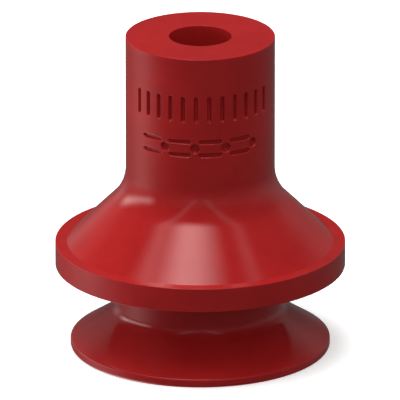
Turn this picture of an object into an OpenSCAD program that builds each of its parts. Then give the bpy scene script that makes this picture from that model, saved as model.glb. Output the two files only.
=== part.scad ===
// Vacuum suction cup with one and a half folds, moulded in one piece of red silicone.
// The moulding is divided at its flexure zones. Each zone is a closed ring, and the
// zones meet face to face, so that the fold, the tilt and the lip can move as they do
// on the real cup. All sizes are in millimetres. The sealing plane of the lip is z = 0
// and the cup's axis is Z, with the fitting end up.

/* [Overall] */
// Height from the sealing plane to the top of the neck
total_h = 18.8; // [17.5:0.1:22]

/* [Neck] */
// Outer diameter of the neck
neck_d = 8.6; // [8:0.1:9]
// Diameter of the bore that grips the fitting
bore_d = 3.6; // [3:0.1:4.4]
// Radius of the blend between the neck and the upper wall
shoulder_r = 2.9; // [2:0.1:3.2]
// Diameter of the throat under the bore
throat_d = 4.8; // [4.6:0.1:5]
// Depth of the engraved marks
mark_depth = 0.2; // [0.15:0.05:0.5]
// Width of one engraved stroke
mark_w = 0.2; // [0.2:0.02:0.3]
// Number of upright strokes in the upper row of marks
upper_marks = 12; // [4:1:12]
// Number of double dashes, each with a dot, in the lower row of marks
lower_marks = 4; // [2:1:4]

/* [Fold] */
// Outer diameter of the fold's rim
rim_d = 16.75; // [16.5:0.05:17.2]
// Height of the rim's lower edge above the sealing plane
rim_z = 4.95; // [4.9:0.05:5.2]
// Height of the rim's outer band
rim_h = 1.4; // [1.3:0.05:1.5]
// Width of the flat land on top of the rim
land_w = 0.68; // [0.5:0.02:0.8]
// Thickness of the upper wall, square to its face
upper_wall_t = 0.95; // [0.8:0.05:1]
// Thickness of the lower wall, measured along the axis
lower_wall_t = 0.7; // [0.6:0.05:0.8]

/* [Waist and lip] */
// Outer diameter of the waist between the fold and the lip
waist_d = 9.5; // [9.4:0.1:9.7]
// Inner diameter of the waist
waist_inner_d = 7.6; // [7.4:0.1:7.7]
// Radius of the blend between the waist and the skirt
skirt_blend_r = 0.85; // [0.6:0.05:0.95]
// Rise of the skirt's outer face for each millimetre of its width
skirt_slope = 0.64; // [0.62:0.01:0.68]
// Outer diameter of the sealing lip
lip_d = 15; // [14.8:0.1:15.2]
// Height of the upright band at the edge of the lip
lip_h = 0.47; // [0.45:0.01:0.55]
// Width of the flat ring that the lip seals with
seal_w = 0.35; // [0.3:0.01:0.4]

/* [Hidden] */
$fn = 96;
red = [0.72, 0.13, 0.13];
dark_red = [0.6, 0.1, 0.1];

// Radii of the section
neck_r = neck_d / 2;
bore_r = bore_d / 2;
throat_r = throat_d / 2;
rim_r = rim_d / 2;
waist_r = waist_d / 2;
waist_ri = waist_inner_d / 2;
lip_r = lip_d / 2;

// Levels and radii where straight faces meet
rim_top = rim_z + rim_h;
land_r = rim_r - land_w;
// the upper wall stands at 45 degrees, so its outer face is r + z = cone_sum
cone_sum = land_r + rim_top;
cone_sum_in = cone_sum - upper_wall_t * sqrt(2);
corner_z = cone_sum - neck_r;
apex_r = 6.95;
apex_top = cone_sum_in - apex_r;
// the lower wall falls from the rim to the waist
web_r = rim_r - 0.75;
web_slope = 0.38;
web_low = rim_z - web_slope * (web_r - waist_r);
web_top = web_low + lower_wall_t;
// the skirt is flatter than the upper wall, and a little steeper inside than outside
skirt_top = lip_h + (lip_r - waist_r) * skirt_slope;
seal_r = lip_r - seal_w;
skirt_in_slope = skirt_slope + 0.04;
skirt_in_top = (seal_r - waist_ri) * skirt_in_slope;
throat_z = cone_sum_in - throat_r;

// Seams between the zones, as levels, and one as a radius
neck_seam = corner_z + shoulder_r * tan(22.5) + 0.25;
wall_seam = corner_z - shoulder_r * tan(22.5) * sqrt(0.5) - 0.25;
web_seam_r = 7.1;
web_gap = 0.01;
waist_seam = 4.05;
skirt_seam = 1.85;

big = 40;

// The sliver between a corner and an arc of radius r that touches both of its sides.
// a and b are the directions of the sides, in degrees, seen from the corner.
module chip(at, a, b, r) {
    half = abs(a - b) / 2;
    t = r / tan(half);
    mid = (a + b) / 2;
    translate(at) difference() {
        polygon([[0, 0], [t * cos(a), t * sin(a)], [t * cos(b), t * sin(b)]]);
        translate([cos(mid), sin(mid)] * r / sin(half)) circle(r);
    }
}

// The hollow blend from the neck into the upper wall, in steps of 5 degrees
function shoulder_arc() = [
    for (a = [180:5:225])
        [neck_r + shoulder_r * (1 + cos(a)), corner_z + shoulder_r * (tan(22.5) + sin(a))]
];

// Half of the whole moulding's section, with the axis on the left
module half_section() {
    difference() {
        union() {
            polygon(concat([[bore_r, total_h], [neck_r, total_h]], shoulder_arc(), [
                [land_r, rim_top], [rim_r, rim_top], [rim_r, rim_z], [web_r, rim_z],
                [waist_r, web_low], [waist_r, skirt_top],
                [lip_r, lip_h], [lip_r, 0], [seal_r, 0],
                [waist_ri, skirt_in_top], [waist_ri, web_top - web_slope * (waist_r - waist_ri)],
                [apex_r, web_top + web_slope * (apex_r - waist_r)],
                [apex_r, apex_top],
                [throat_r, throat_z], [throat_r, neck_seam], [bore_r, neck_seam]
            ]));
            // blends above and below the waist
            chip([waist_r, web_low], atan(web_slope), -90, 0.35);
            chip([waist_r, skirt_top], 90, -atan(skirt_slope), skirt_blend_r);
        }
        // round on the lower outer edge of the lip
        chip([lip_r, 0], 90, 180, 0.15);
        // round inside the waist
        chip([waist_ri, web_top - web_slope * (waist_r - waist_ri)], -90, atan(web_slope), 0.3);
    }
}

// One zone of the moulding: a ring between two levels
module zone(low, high) {
    rotate_extrude() intersection() {
        half_section();
        translate([0, low]) square([big, high - low]);
    }
}

// An upright stroke or a lying dash with round ends, cut into the neck at an angle
// round the axis and a height. Angle 0 faces the front, which is -Y.
module stroke(angle, z, length, lying = false) {
    rotate([0, 0, angle]) translate([0, -neck_r + mark_depth, z])
        rotate([90, 0, 0]) linear_extrude(2) rotate([0, 0, lying ? 90 : 0]) union() {
            square([mark_w, length - mark_w], center = true);
            for (s = [-1, 1]) translate([0, s * (length - mark_w) / 2]) circle(mark_w / 2);
        }
}

module dot(angle, z, d) {
    rotate([0, 0, angle]) translate([0, -neck_r + mark_depth, z])
        rotate([90, 0, 0]) linear_extrude(2) circle(d / 2);
}

// Two rows of plain marks on the front of the neck
module marks() {
    upper_step = 112 / (upper_marks - 1);
    for (i = [0:upper_marks - 1]) stroke(-54 + i * upper_step, total_h - 3.05, 1.5);
    lower_step = 84 / (lower_marks - 0.5);
    for (i = [0:lower_marks - 1]) {
        for (s = [-1, 1]) stroke(-40 + i * lower_step, total_h - 5.4 + s * 0.4, 1.3, true);
        dot(-40 + (i + 0.5) * lower_step, total_h - 5.4, 0.5);
    }
}

// Sleeve that grips the fitting
module fitting_neck() {
    color(red) difference() {
        zone(neck_seam, total_h + 1);
        marks();
    }
}

// Blend from the sleeve into the fold, which bends when the cup tilts
module shoulder() {
    color(dark_red) zone(wall_seam, neck_seam);
}

// Upper wall of the fold, a cone that flattens as the fold closes
module upper_wall() {
    color(red) zone(rim_top, wall_seam);
}

// Rim where the fold turns back
module fold_rim() {
    color(dark_red) rotate_extrude() intersection() {
        half_section();
        union() {
            translate([web_seam_r, rim_z - 1]) square([big, rim_h + 1]);
            translate([0, apex_top - 0.2]) square([big, rim_top - apex_top + 0.2]);
        }
    }
}

// Lower wall of the fold, a thin web from the rim to the waist
module lower_wall() {
    color(red) rotate_extrude() intersection() {
        half_section();
        translate([0, waist_seam]) square([web_seam_r - web_gap, apex_top - 0.25 - waist_seam]);
    }
}

// Waist between the fold and the lip
module waist_ring() {
    color(dark_red) zone(skirt_seam, waist_seam);
}

// Flexible skirt that carries the lip
module lip_skirt() {
    color(red) zone(lip_h, skirt_seam);
}

// Edge that seals on the workpiece
module sealing_lip() {
    color(dark_red) zone(-1, lip_h);
}

fitting_neck();
shoulder();
upper_wall();
fold_rim();
lower_wall();
waist_ring();
lip_skirt();
sealing_lip();
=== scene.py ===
"""Looks of the vacuum suction cup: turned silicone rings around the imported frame."""
import math

import bpy
import numpy as np
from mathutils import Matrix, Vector


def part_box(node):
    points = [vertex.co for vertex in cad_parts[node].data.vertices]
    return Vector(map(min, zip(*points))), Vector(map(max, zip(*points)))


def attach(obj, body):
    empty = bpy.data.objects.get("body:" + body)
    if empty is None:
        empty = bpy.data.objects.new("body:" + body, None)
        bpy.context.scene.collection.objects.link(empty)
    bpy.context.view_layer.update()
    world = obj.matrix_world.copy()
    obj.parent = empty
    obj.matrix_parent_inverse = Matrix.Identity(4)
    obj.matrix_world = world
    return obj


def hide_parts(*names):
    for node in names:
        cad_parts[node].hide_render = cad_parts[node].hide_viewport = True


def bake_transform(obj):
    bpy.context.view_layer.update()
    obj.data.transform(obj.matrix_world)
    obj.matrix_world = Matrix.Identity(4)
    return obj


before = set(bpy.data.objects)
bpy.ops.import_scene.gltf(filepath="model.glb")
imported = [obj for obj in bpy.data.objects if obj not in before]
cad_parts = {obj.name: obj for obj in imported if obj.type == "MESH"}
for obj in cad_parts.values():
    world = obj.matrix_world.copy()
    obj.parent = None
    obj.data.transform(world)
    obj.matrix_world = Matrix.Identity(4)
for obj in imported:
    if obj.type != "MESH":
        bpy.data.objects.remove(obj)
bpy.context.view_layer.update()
scene = bpy.context.scene
MM = 0.001

# ---------------------------------------------------------------- camera
ELEVATION = 19.6
DISTANCE = 0.80
SPAN = 23.07 * MM  # width of the view at the cup's axis
AIM_Z = 8.79 * MM
cam_data = bpy.data.cameras.new("camera")
cam = bpy.data.objects.new("camera", cam_data)
scene.collection.objects.link(cam)
scene.camera = cam
cam_data.sensor_width = 36.0
cam_data.lens = 36.0 * DISTANCE / SPAN
cam_data.clip_start = 0.02
cam_data.clip_end = 20.0
elev = math.radians(ELEVATION)
aim = Vector((0.0, 0.0, AIM_Z))
back = Vector((0.0, -math.cos(elev), math.sin(elev)))
cam.location = aim + back * DISTANCE
cam.rotation_mode = "QUATERNION"
cam.rotation_quaternion = (-back).to_track_quat("-Z", "Y")
cam_data.shift_x = -0.0007

# ---------------------------------------------------------------- sizes, from the frame, in millimetres
def corner(node):
    lo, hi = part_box(node)
    return [x / MM for x in lo], [x / MM for x in hi]


neck_lo, neck_hi = corner("fitting_neck")
sh_lo, sh_hi = corner("shoulder")
uw_lo, uw_hi = corner("upper_wall")
rim_lo, rim_hi = corner("fold_rim")
lw_lo, lw_hi = corner("lower_wall")
wr_lo, wr_hi = corner("waist_ring")
sk_lo, sk_hi = corner("lip_skirt")
lip_lo, lip_hi = corner("sealing_lip")

TOP = neck_hi[2]
NECK_R = neck_hi[0]
NECK_SEAM = neck_lo[2]
WALL_SEAM = uw_hi[2]
RIM_R = rim_hi[0]
RIM_TOP = uw_lo[2]
LAND_R = uw_hi[0]
LIP_R = lip_hi[0]
LIP_H = lip_hi[2]
WAIST_SEAM = wr_hi[2]
SKIRT_SEAM = wr_lo[2]

BORE_R, THROAT_R, SHOULDER_R = 1.8, 2.4, 2.9
UPPER_T, LOWER_T = 0.95, 0.70
RIM_H, WEB_R, WEB_SLOPE, APEX_R = 1.40, RIM_R - 0.75, 0.38, 6.95
WAIST_R, WAIST_RI, SEAL_R = 4.75, 3.80, LIP_R - 0.35
SKIRT_OUT, SKIRT_IN, SKIRT_BLEND = 0.64, 0.68, 0.85
RIM_Z = RIM_TOP - RIM_H
CONE = LAND_R + RIM_TOP
CONE_IN = CONE - UPPER_T * math.sqrt(2)
CORNER_Z = CONE - NECK_R
APEX_TOP = CONE_IN - APEX_R
WEB_LOW = RIM_Z - WEB_SLOPE * (WEB_R - WAIST_R)
WEB_TOP = WEB_LOW + LOWER_T
SKIRT_TOP = LIP_H + (LIP_R - WAIST_R) * SKIRT_OUT
SKIRT_IN_TOP = (SEAL_R - WAIST_RI) * SKIRT_IN
THROAT_Z = CONE_IN - THROAT_R


# ---------------------------------------------------------------- profile tools
def rounded(points, radii, step=7.5):
    """A polyline through points with its corners rounded to radii. Returns [(r, z, sharp)]."""
    out = []
    n = len(points)
    for i, p in enumerate(points):
        r = radii[i]
        if r <= 0 or i in (0, n - 1):
            out.append((p[0], p[1], i in (0, n - 1) or r == 0))
            continue
        p = np.array(p, float)
        u = np.array(points[i - 1], float) - p
        v = np.array(points[i + 1], float) - p
        u, v = u / np.linalg.norm(u), v / np.linalg.norm(v)
        half = math.acos(max(-1, min(1, float(u @ v)))) / 2
        t = r / math.tan(half)
        m = (u + v) / np.linalg.norm(u + v)
        c = p + m * r / math.sin(half)
        a, b = p + u * t, p + v * t
        a0 = math.atan2(*(a - c)[::-1])
        a1 = math.atan2(*(b - c)[::-1])
        d = (a1 - a0 + math.pi) % (2 * math.pi) - math.pi
        k = max(4, math.ceil(abs(math.degrees(d)) / step))
        for j in range(k + 1):
            q = a0 + d * j / k
            out.append((c[0] + r * math.cos(q), c[1] + r * math.sin(q), False))
    return out


def finer(profile, most, keep_ends=True):
    """The same profile with no step longer than most."""
    out = [profile[0]]
    for (r0, z0, _), (r1, z1, s1) in zip(profile, profile[1:]):
        k = max(1, math.ceil(math.hypot(r1 - r0, z1 - z0) / most))
        for j in range(1, k):
            out.append((r0 + (r1 - r0) * j / k, z0 + (z1 - z0) * j / k, False))
        out.append((r1, z1, s1))
    return out


def lathe(name, loop, angles=None, dent=None):
    """A closed ring turned from a closed loop [(r, z, sharp)]. Angle 0 is the front, -Y, and grows towards +X. dent(r, z, angle) gives how far each point moves in towards the axis."""
    n = len(loop)
    ang = np.arange(256) * 2 * math.pi / 256 if angles is None else np.asarray(angles)
    segments = len(ang)
    r = np.tile(np.array([p[0] for p in loop]), (segments, 1))
    zz = np.tile(np.array([p[1] for p in loop]), (segments, 1))
    if dent is not None:
        r = r - dent(r, zz, np.tile(ang[:, None], (1, n)))
    x = np.sin(ang)[:, None] * r * MM
    y = -np.cos(ang)[:, None] * r * MM
    zz = zz * MM
    verts = np.stack([x, y, zz], -1).reshape(-1, 3)
    i = np.arange(segments)[:, None]
    j = np.arange(n)[None, :]
    i2, j2 = (i + 1) % segments, (j + 1) % n
    quads = np.stack(
        np.broadcast_arrays(i * n + j, i * n + j2, i2 * n + j2, i2 * n + j), -1
    ).reshape(-1, 4)
    mesh = bpy.data.meshes.new(name)
    mesh.from_pydata(verts.tolist(), [], quads.tolist())
    mesh.update()
    sharp = np.array([p[2] for p in loop])
    mark_sharp(mesh, sharp, n)
    mesh.shade_smooth() if hasattr(mesh, "shade_smooth") else None
    for p in mesh.polygons:
        p.use_smooth = True
    obj = bpy.data.objects.new(name, mesh)
    scene.collection.objects.link(obj)
    return obj


def mark_sharp(mesh, sharp, n):
    """Marks the rings of edges at sharp profile points."""
    ev = np.zeros(len(mesh.edges) * 2, np.int32)
    mesh.edges.foreach_get("vertices", ev)
    a, b = ev[0::2], ev[1::2]
    flag = (a % n == b % n) & sharp[a % n]
    att = mesh.attributes.get("sharp_edge") or mesh.attributes.new(
        "sharp_edge", "BOOLEAN", "EDGE"
    )
    att.data.foreach_set("value", flag.astype(bool))


def check_out(obj):
    """Turns the faces outwards if the mesh came out inside out."""
    import bmesh

    bm = bmesh.new()
    bm.from_mesh(obj.data)
    if bm.calc_volume(signed=True) < 0:
        bmesh.ops.reverse_faces(bm, faces=bm.faces)
    bm.to_mesh(obj.data)
    bm.free()


EDGE = 0.022  # tiny round on moulded edges

# ---------------------------------------------------------------- the pieces
pieces = {}


def ring(name, outer, inner, angles=None, dent=None):
    """A closed ring between an outer profile, top to bottom, and an inner one, bottom to top."""
    loop = list(outer) + list(inner)
    obj = lathe(name, loop, angles, dent)
    check_out(obj)
    pieces[name] = obj
    return obj


fine = 0.12

# shoulder: from the straight neck through the blend to the straight cone
outer = finer(
    rounded(
        [(NECK_R, NECK_SEAM), (NECK_R, CORNER_Z), (CONE - WALL_SEAM, WALL_SEAM)],
        [0, SHOULDER_R, 0],
        step=1.5,
    ),
    fine,
)
inner = finer(
    rounded(
        [(CONE_IN - WALL_SEAM, WALL_SEAM), (THROAT_R, THROAT_Z), (THROAT_R, NECK_SEAM)],
        [0, 0.3, 0],
    ),
    fine,
)
ring("shoulder_skin", outer, inner)

# upper wall
outer = finer([(CONE - WALL_SEAM, WALL_SEAM, True), (LAND_R, RIM_TOP, True)], fine)
inner = finer(
    [(CONE_IN - RIM_TOP, RIM_TOP, True), (CONE_IN - WALL_SEAM, WALL_SEAM, True)], fine
)
ring("upper_wall_skin", outer, inner)

# rim
web_seam = 7.1
seam_low = WEB_LOW + WEB_SLOPE * (web_seam - WAIST_R)
seam_in = APEX_TOP - 0.2
outer = finer(
    rounded(
        [
            (LAND_R, RIM_TOP),
            (RIM_R, RIM_TOP),
            (RIM_R, RIM_Z),
            (WEB_R, RIM_Z),
            (web_seam, seam_low),
        ],
        [0, EDGE, EDGE, 0.1, 0],
        step=15,
    ),
    fine,
)
inner = finer(
    [
        (APEX_R, seam_in, True),
        (APEX_R, APEX_TOP - 0.1, False),
        (APEX_R - 0.03, APEX_TOP - 0.03, False),
        (CONE_IN - APEX_TOP - 0.06, APEX_TOP + 0.06, False),
        (CONE_IN - RIM_TOP, RIM_TOP, True),
    ],
    fine,
)
ring("fold_rim_skin", outer, inner)

# lower wall
under = WEB_LOW + WEB_SLOPE * 0
wall_out_r = WAIST_R + (WAIST_SEAM - WEB_LOW) / WEB_SLOPE
top_at = lambda r: WEB_TOP + WEB_SLOPE * (r - WAIST_R)
in_corner = (WAIST_RI, top_at(WAIST_RI))
outer = finer([(web_seam, seam_low, True), (wall_out_r, WAIST_SEAM, True)], fine)
full_in = rounded(
    [(WAIST_RI, SKIRT_IN_TOP), in_corner, (APEX_R, top_at(APEX_R)), (APEX_R, seam_in)],
    [0, 0.3, 0.05, 0],
)
# split the inner line at the waist seam
lower_in = [p for p in full_in if p[1] > WAIST_SEAM]
waist_in_top = [p for p in full_in[1:] if p[1] <= WAIST_SEAM]


def cross(profile, z):
    for (r0, z0, _), (r1, z1, _) in zip(profile, profile[1:]):
        if (z0 - z) * (z1 - z) <= 0 and z0 != z1:
            return r0 + (r1 - r0) * (z - z0) / (z1 - z0)
    raise ValueError(z)


waist_in_r = cross(full_in, WAIST_SEAM)
inner = finer([(waist_in_r, WAIST_SEAM, True)] + lower_in[:-1] + [(APEX_R, seam_in, True)], fine)
ring("lower_wall_skin", outer, inner)

# waist
outer = finer(
    rounded(
        [
            (wall_out_r, WAIST_SEAM),
            (WAIST_R, WEB_LOW),
            (WAIST_R, SKIRT_TOP),
            (CONE_S := LIP_R - (SKIRT_SEAM - LIP_H) / SKIRT_OUT, SKIRT_SEAM),
        ],
        [0, 0.35, SKIRT_BLEND, 0],
        step=2,
    ),
    fine,
)
skirt_in_at = lambda z: SEAL_R - z / SKIRT_IN
inner = finer(
    rounded(
        [(skirt_in_at(SKIRT_SEAM), SKIRT_SEAM), (WAIST_RI, SKIRT_IN_TOP), (WAIST_RI, min(p[1] for p in full_in[1:]))],
        [0, 0.15, 0],
    )
    + [p for p in waist_in_top if p[1] > min(q[1] for q in full_in[1:])]
    + [(waist_in_r, WAIST_SEAM, True)],
    fine,
)
ring("waist_ring_skin", outer, inner)

# skirt and lip share one outer line, with a soft edge where they meet
foot = finer(
    rounded(
        [(CONE_S, SKIRT_SEAM), (LIP_R, LIP_H), (LIP_R, 0.0), (SEAL_R, 0.0), (skirt_in_at(LIP_H), LIP_H)],
        [0, 0.12, 0.15, 0.04, 0],
        step=5,
    ),
    fine,
)
meet = cross(foot, LIP_H)
first_low = next(i for i, p in enumerate(foot) if p[1] <= LIP_H)
skirt_out = foot[:first_low] + [(meet, LIP_H, True)]
inner = finer(
    [(skirt_in_at(LIP_H), LIP_H, True), (skirt_in_at(SKIRT_SEAM), SKIRT_SEAM, True)],
    fine,
)
ring("lip_skirt_skin", skirt_out, inner)
ring("sealing_lip_skin", [(meet, LIP_H, True)] + foot[first_low:], [])

# neck, with two rows of plain marks sunk into its front
MARK_W, MARK_DEPTH, MARK_SOFT = 0.20, 0.20, 0.045
UP_Z, UP_LEN = TOP - 3.05, 1.5
LOW_Z, LOW_LEN, LOW_GAP, DOT_D = TOP - 5.4, 1.3, 0.4, 0.5
UP_ANGLES = [-54 + i * 112 / 11 for i in range(12)]
LOW_ANGLES = [-40 + i * 24 for i in range(4)]
DOT_ANGLES = [a + 12 for a in LOW_ANGLES]


def marching(start, stop, coarse, fine_step, bands):
    """Values from start to stop, close together inside the bands and wide apart elsewhere."""
    out, t = [start], start
    while t < stop - 1e-9:
        near = min((max(lo - t, t - hi, 0.0) for lo, hi in bands), default=9e9)
        t = min(stop, t + min(coarse, max(fine_step, 0.6 * near)))
        out.append(t)
    return out


def degrees_of(mm):
    return math.degrees(math.asin(mm / NECK_R))


edge = degrees_of(0.05)
half_w = degrees_of(MARK_W / 2)
bands = [(a + s * half_w - edge, a + s * half_w + edge) for a in UP_ANGLES for s in (-1, 1)]
for a in LOW_ANGLES:
    end = degrees_of(LOW_LEN / 2)
    bands += [(a + s * (end - 0.7 * half_w) - 1.2, a + s * (end - 0.7 * half_w) + 1.2) for s in (-1, 1)]
bands += [(a - degrees_of(DOT_D / 2) - edge, a + degrees_of(DOT_D / 2) + edge) for a in DOT_ANGLES]
front = marching(-62.0, 62.0, 0.9, 0.22, bands)
rest_of_round = np.linspace(62.0, 298.0, 120)[1:-1]
neck_angles = np.radians(np.concatenate([front, rest_of_round]))

z_bands = []
for s in (-1, 1):
    z_bands.append((UP_Z + s * (UP_LEN / 2 - 0.06) - 0.11, UP_Z + s * (UP_LEN / 2 - 0.06) + 0.11))
    z_bands.append((LOW_Z + s * LOW_GAP - 0.17, LOW_Z + s * LOW_GAP + 0.17))
z_bands.append((LOW_Z - 0.3, LOW_Z + 0.3))
levels = marching(NECK_SEAM, TOP - EDGE, 0.3, 0.022, z_bands)[::-1]


def capsule(u, v, half_length, radius):
    """Distance to a rounded stroke along v, less than 0 inside."""
    return np.hypot(u, v - np.clip(v, -half_length, half_length)) - radius


def marks(r, z, angle):
    """How deep each point of the neck's wall is sunk. The floor of a mark is flat."""
    wall = (r > NECK_R - 1e-6) & (z < TOP - 0.5)
    sunk = np.zeros_like(r)

    def press(centre, distance_of):
        nonlocal sunk
        d = angle - math.radians(centre)
        d = (d + math.pi) % (2 * math.pi) - math.pi
        near = wall & (np.abs(d) < 0.35)
        u = r * np.sin(d)
        depth = r - (NECK_R - MARK_DEPTH) / np.cos(np.where(near, d, 0))
        t = np.clip((MARK_SOFT - distance_of(u)) / (2 * MARK_SOFT), 0, 1)
        sunk = np.where(near, np.maximum(sunk, depth * t * t * (3 - 2 * t)), sunk)

    for a in UP_ANGLES:
        press(a, lambda u: capsule(u, z - UP_Z, (UP_LEN - MARK_W) / 2, MARK_W / 2))
    for a in LOW_ANGLES:
        for s in (-1, 1):
            press(a, lambda u, s=s: capsule(z - LOW_Z - s * LOW_GAP, u, (LOW_LEN - MARK_W) / 2, MARK_W / 2))
    for a in DOT_ANGLES:
        press(a, lambda u: np.hypot(u, z - LOW_Z) - DOT_D / 2)
    return sunk


top_edge = rounded(
    [(BORE_R, NECK_SEAM), (BORE_R, TOP), (NECK_R, TOP), (NECK_R, NECK_SEAM)],
    [0, EDGE, EDGE, 0],
    step=15,
)
ring(
    "fitting_neck_skin",
    finer(top_edge[:-1], 0.4) + [(NECK_R, z, False) for z in levels[1:-1]] + [(NECK_R, NECK_SEAM, True)],
    [],
    neck_angles,
    marks,
)


# ---------------------------------------------------------------- node arithmetic
class Value:
    """A number in a node tree, so that shaders can be written as formulas."""

    def __init__(self, tree, socket):
        self.tree, self.socket = tree, socket

    def math(self, op, *others, clamp=False):
        node = self.tree.nodes.new("ShaderNodeMath")
        node.operation = op
        node.use_clamp = clamp
        for i, v in enumerate((self, *others)):
            if isinstance(v, Value):
                self.tree.links.new(v.socket, node.inputs[i])
            else:
                node.inputs[i].default_value = v
        return Value(self.tree, node.outputs[0])

    def __add__(self, o):
        return self.math("ADD", o)

    def __sub__(self, o):
        return self.math("SUBTRACT", o)

    def __mul__(self, o):
        return self.math("MULTIPLY", o)

    def __truediv__(self, o):
        return self.math("DIVIDE", o)

    __radd__, __rmul__ = __add__, __mul__

    def step(self, a, b, low=0.0, high=1.0):
        """Rises smoothly from low at a to high at b."""
        node = self.tree.nodes.new("ShaderNodeMapRange")
        node.interpolation_type = "SMOOTHSTEP"
        self.tree.links.new(self.socket, node.inputs[0])
        turn = a > b
        for i, v in zip((1, 2, 3, 4), (b, a, high, low) if turn else (a, b, low, high)):
            node.inputs[i].default_value = v
        return Value(self.tree, node.outputs[0])

    def line(self, a, b, low, high):
        node = self.tree.nodes.new("ShaderNodeMapRange")
        self.tree.links.new(self.socket, node.inputs[0])
        for i, v in zip((1, 2, 3, 4), (a, b, low, high)):
            node.inputs[i].default_value = v
        return Value(self.tree, node.outputs[0])

    def hill(self, centre, width):
        """A bell curve of the given half width, for a product of several."""
        d = (self - centre) / width
        return (d * d * -1.0).math("EXPONENT")


# ---------------------------------------------------------------- material
RED = (0.41, 0.0150, 0.0155)


def silicone():
    """Glossy red silicone: faint flow marks in the colour, smudged gloss, a mould's fine grain and a few specks of dust."""
    mat = bpy.data.materials.new("red_silicone")
    mat.use_nodes = True
    nt = mat.node_tree
    nt.nodes.clear()
    new, link = nt.nodes.new, nt.links.new
    out = new("ShaderNodeOutputMaterial")
    bsdf = new("ShaderNodeBsdfPrincipled")
    link(bsdf.outputs[0], out.inputs[0])
    bsdf.inputs["IOR"].default_value = 1.52
    bsdf.inputs["Specular Tint"].default_value = (1.0, 0.72, 0.72, 1)

    coord = new("ShaderNodeTexCoord")
    in_mm = new("ShaderNodeVectorMath")
    in_mm.operation = "SCALE"
    in_mm.inputs[3].default_value = 1000.0
    link(coord.outputs["Object"], in_mm.inputs[0])

    def noise(scale, detail, rough, stretch=None):
        where = in_mm.outputs[0]
        if stretch:
            m = new("ShaderNodeVectorMath")
            m.operation = "MULTIPLY"
            m.inputs[1].default_value = stretch
            link(where, m.inputs[0])
            where = m.outputs[0]
        n = new("ShaderNodeTexNoise")
        n.inputs["Scale"].default_value = scale
        n.inputs["Detail"].default_value = detail
        n.inputs["Roughness"].default_value = rough
        link(where, n.inputs["Vector"])
        return Value(nt, n.outputs[0])

    flow = noise(0.22, 3, 0.55, (1, 1, 1.8))
    cloud = noise(1.1, 4, 0.6)
    grain = noise(14, 3, 0.6)
    smudge = noise(0.5, 5, 0.62, (1, 1, 0.45))

    # specks: the middles of scattered cells
    cells = new("ShaderNodeTexVoronoi")
    cells.inputs["Scale"].default_value = 1.3
    link(in_mm.outputs[0], cells.inputs["Vector"])
    pick = new("ShaderNodeSeparateColor")
    link(cells.outputs["Color"], pick.inputs[0])
    chosen = Value(nt, pick.outputs[0]).step(0.62, 0.66)
    size = Value(nt, pick.outputs[1]).line(0, 1, 0.03, 0.06)
    speck = (Value(nt, cells.outputs["Distance"]) / size).step(1.0, 0.5) * chosen

    shade = flow.line(0.3, 0.7, -0.075, 0.075) + cloud.line(0.3, 0.7, -0.035, 0.035) + grain.line(0.3, 0.7, -0.02, 0.02)
    mix = new("ShaderNodeMix")
    mix.data_type = "RGBA"
    mix.inputs["A"].default_value = (RED[0] * 0.8, RED[1] * 0.72, RED[2] * 0.78, 1)
    mix.inputs["B"].default_value = (RED[0] * 1.2, RED[1] * 1.28, RED[2] * 1.22, 1)
    link((shade + 0.5).line(0.3, 0.7, 0.0, 1.0).socket, mix.inputs["Factor"])
    dust = new("ShaderNodeMix")
    dust.data_type = "RGBA"
    dust.inputs["B"].default_value = (0.55, 0.30, 0.27, 1)
    link(mix.outputs["Result"], dust.inputs["A"])
    link((speck * 0.14).socket, dust.inputs["Factor"])
    link(dust.outputs["Result"], bsdf.inputs["Base Color"])

    rough = smudge.step(0.42, 0.68, 0.0, 1.0) * 0.05 + cloud.line(0.3, 0.7, 0.06, 0.09) + speck * 0.15
    link(rough.socket, bsdf.inputs["Roughness"])

    bump = new("ShaderNodeBump")
    bump.inputs["Strength"].default_value = 0.35
    bump.inputs["Distance"].default_value = 0.00001
    height = grain * 0.5 + noise(38, 2, 0.5) * 0.25 + speck * 0.8 + cloud * 0.6
    link(height.socket, bump.inputs["Height"])
    link(bump.outputs[0], bsdf.inputs["Normal"])
    return mat


mat = silicone()
for o in pieces.values():
    o.data.materials.append(mat)


# ---------------------------------------------------------------- riding, and blend weights worked out but not kept
def weights(obj, coordinate, w0, w1, end):
    """Bakes obj's placement into its mesh and works out, for each point, a blend from 0 at w0 to 1 at w1 along a
    coordinate of the ring, straight in the middle and flat at both ends; the blend is not stored, so obj rides on no
    body.
    """
    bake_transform(obj)
    co = np.zeros(len(obj.data.vertices) * 3)
    obj.data.vertices.foreach_get("co", co)
    co = co.reshape(-1, 3) / MM
    c = coordinate(np.hypot(co[:, 0], co[:, 1]), co[:, 2])
    t = np.clip((c - w0) / (w1 - w0), 0, 1)


P = pieces
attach(P["fitting_neck_skin"], "neck")
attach(P["fold_rim_skin"], "rim")
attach(P["sealing_lip_skin"], "lip")
weights(P["shoulder_skin"], lambda r, z: z, NECK_SEAM, WALL_SEAM, (0, 0, WALL_SEAM * MM))
weights(P["upper_wall_skin"], lambda r, z: z, WALL_SEAM, RIM_TOP, (0, 0, RIM_TOP * MM))
weights(P["lower_wall_skin"], lambda r, z: r, APEX_R, wall_out_r, (0.005, 0, 0.004))
weights(P["waist_ring_skin"], lambda r, z: z, WAIST_SEAM, SKIRT_SEAM, (0, 0, SKIRT_SEAM * MM))
weights(P["lip_skirt_skin"], lambda r, z: z, SKIRT_SEAM, LIP_H, (0, 0, LIP_H * MM))
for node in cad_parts:
    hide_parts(node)

# ---------------------------------------------------------------- floor and light
fm = bpy.data.meshes.new("floor")
s = 6.0
fm.from_pydata([(-s, -s, 0), (s, -s, 0), (s, s, 0), (-s, s, 0)], [], [(0, 1, 2, 3)])
floor = bpy.data.objects.new("floor", fm)
scene.collection.objects.link(floor)
floor_mat = bpy.data.materials.new("floor")
floor_mat.use_nodes = True
fb = floor_mat.node_tree.nodes["Principled BSDF"]
fb.inputs["Base Color"].default_value = (0.95, 0.95, 0.95, 1)
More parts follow.
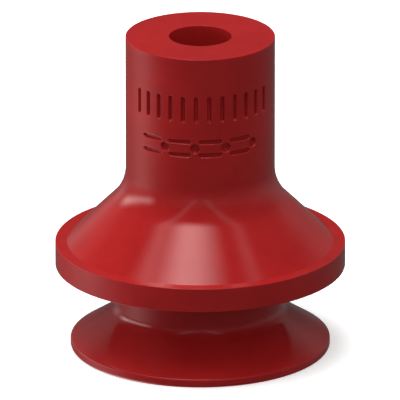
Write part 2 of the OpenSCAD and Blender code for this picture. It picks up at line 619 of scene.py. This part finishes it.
fb.inputs["Roughness"].default_value = 0.9
fb.inputs["Specular IOR Level"].default_value = 0.0
fb.inputs["Emission Color"].default_value = (1, 1, 1, 1)
fb.inputs["Emission Strength"].default_value = 0.4
fm.materials.append(floor_mat)
# what the cup gets from below is part of the studio light
floor.visible_glossy = False
floor.visible_diffuse = False
floor.visible_shadow = False


def studio():
    """The light all round: a softbox overhead, a long one low on the left, two tubes that run to the front, and a dim room."""
    world = bpy.data.worlds.new("world")
    scene.world = world
    world.use_nodes = True
    nt = world.node_tree
    coord = nt.nodes.new("ShaderNodeTexCoord")
    split = nt.nodes.new("ShaderNodeSeparateXYZ")
    nt.links.new(coord.outputs["Generated"], split.inputs[0])
    x, y, z = (Value(nt, split.outputs[i]) for i in range(3))
    # azimuth in degrees from the front, to the right, and height above the horizon
    az = x.math("ARCTAN2", y * -1.0) * 57.29578
    el = z.math("ARCSINE") * 57.29578
    # where the direction meets a ceiling one unit up
    up = z.math("MAXIMUM", 0.02)
    u, w = x / up, y / up

    light = az * 0.0 + 0.05
    light = light + el.step(4.0, -8.0) * el.step(-60.0, -35.0) * 0.05
    light = light + az.hill(-97.0, 26.0) * el.hill(-13.0, 13.0) * 0.84
    light = light + az.hill(112.0, 42.0) * el.hill(1.0, 15.0) * 0.25
    light = light + az.step(-140.0, -120.0) * az.step(-66.0, -82.0) * el.hill(11.0, 6.0) * 3.2
    light = light + az.hill(-96.0, 36.0) * el.hill(-52.0, 16.0) * 4.6
    light = light + az.hill(5.0, 70.0) * el.hill(10.0, 12.0) * 0.24
    light = light + az.math("ABSOLUTE").hill(145.0, 20.0) * el.hill(27.0, 14.0) * 0.24
    light = light + az.hill(-146.0, 14.0) * el.hill(2.0, 12.0) * 0.4
    # softbox overhead
    long = w.step(-0.73, -0.28) * w.step(0.7, 0.35)
    light = light + u.step(-0.54, -0.18) * u.step(0.36, -0.12) * long * 6.1
    light = light + u.step(-0.80, -0.62) * u.step(-0.30, -0.48) * long * 0.85
    # tubes
    ahead = (w * -1.0).math("MAXIMUM", 0.0)
    off = u.math("ABSOLUTE") - (ahead * 0.10 + 0.56)
    tube = (off / (ahead * 0.03 + 0.08)).hill(0.0, 1.0) * z.step(0.02, 0.10) * w.step(0.6, 0.3)
    light = light + tube * (u.step(0.0, -0.1, 0.8, 0.85) * ahead.step(0.5, 2.0, 1.0, 0.8))

    # behind the object the room is plain white
    path = nt.nodes.new("ShaderNodeLightPath")
    light = light.math("MAXIMUM", Value(nt, path.outputs["Is Camera Ray"]))

    bg = nt.nodes["Background"]
    nt.links.new(light.socket, bg.inputs[0])
    bg.inputs[1].default_value = 1.0


studio()


def soft_light(name, azimuth, height, size, strength, distance=1.2):
    """A square light that only fills, and isn't mirrored in the cup. strength is what it adds to a face that looks straight at it, as a share of white."""
    data = bpy.data.lights.new(name, "AREA")
    data.shape = "SQUARE"
    data.size = size
    data.energy = strength * math.pi * math.pi * distance * distance
    obj = bpy.data.objects.new(name, data)
    scene.collection.objects.link(obj)
    a, e = math.radians(azimuth), math.radians(height)
    way = Vector((math.cos(e) * math.sin(a), -math.cos(e) * math.cos(a), math.sin(e)))
    obj.location = way * distance
    obj.rotation_mode = "QUATERNION"
    obj.rotation_quaternion = way.to_track_quat("Z", "Y")
    obj.visible_camera = False
    obj.visible_glossy = False
    return obj


soft_light("front_fill", 10, 34, 1.2, 0.23)
soft_light("high_fill", -80, 68, 0.7, 0.09)
soft_light("left_fill", -105, 30, 1.2, 0.22)
soft_light("right_fill", 95, 38, 1.2, 0.16)

scene.view_settings.view_transform = "Standard"
scene.view_settings.look = "None"
